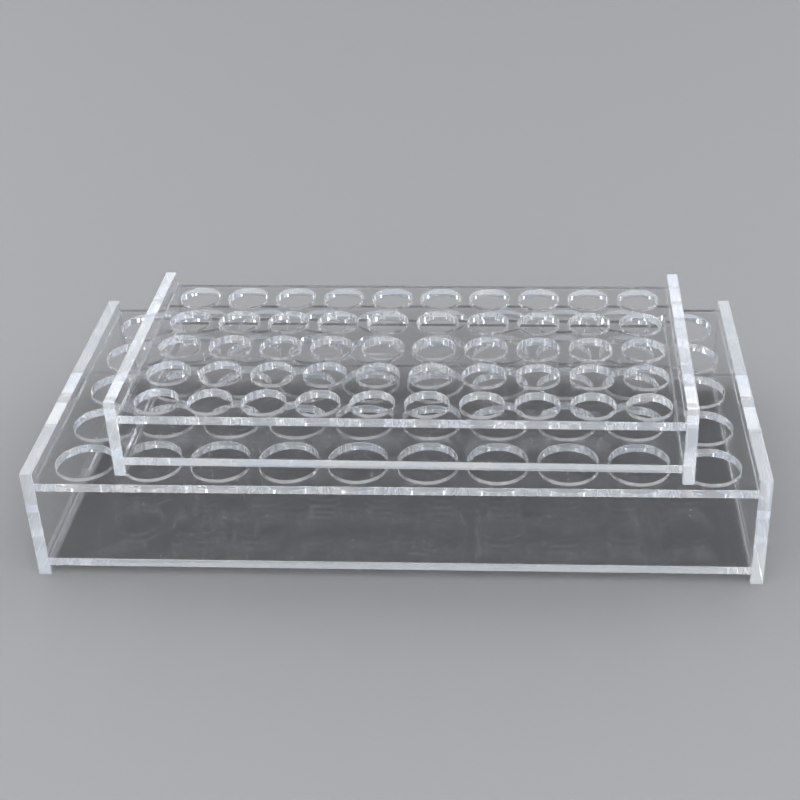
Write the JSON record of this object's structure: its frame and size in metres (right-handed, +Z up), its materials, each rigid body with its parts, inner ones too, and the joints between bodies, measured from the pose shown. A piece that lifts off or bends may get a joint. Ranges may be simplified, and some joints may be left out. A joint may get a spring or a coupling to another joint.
{
  "type": "tube and vial rack pair",
  "caption": "Pair of clear acrylic bench racks, a small one standing on a large one; each has a deck drilled with a grid of round holes over a base, between two end plates.",
  "frame": {"origin": "centre of the large rack's footprint, on the surface that it stands on", "axes": "+X along the length to the right, +Y from the front to the back, +Z up"},
  "size_m": [0.317, 0.155, 0.0863],
  "materials": {
    "clear_acrylic": "clear cast sheet with polished faces; the sawn and drilled edges are frosted white"
  },
  "bodies": {
    "large_rack": {"large_base_plate": "clear_acrylic", "large_tube_deck": "clear_acrylic", "large_left_end_plate": "clear_acrylic", "large_right_end_plate": "clear_acrylic"},
    "small_rack": {"small_base_plate": "clear_acrylic", "small_tube_deck": "clear_acrylic", "small_left_end_plate": "clear_acrylic", "small_right_end_plate": "clear_acrylic"}
  },
  "joints": [
    {"name": "small_rack_lift", "type": "slide", "parent": "large_rack", "child": "small_rack", "axis": [0, 0, 1], "range_m": [0, 0.06]}
  ]
}
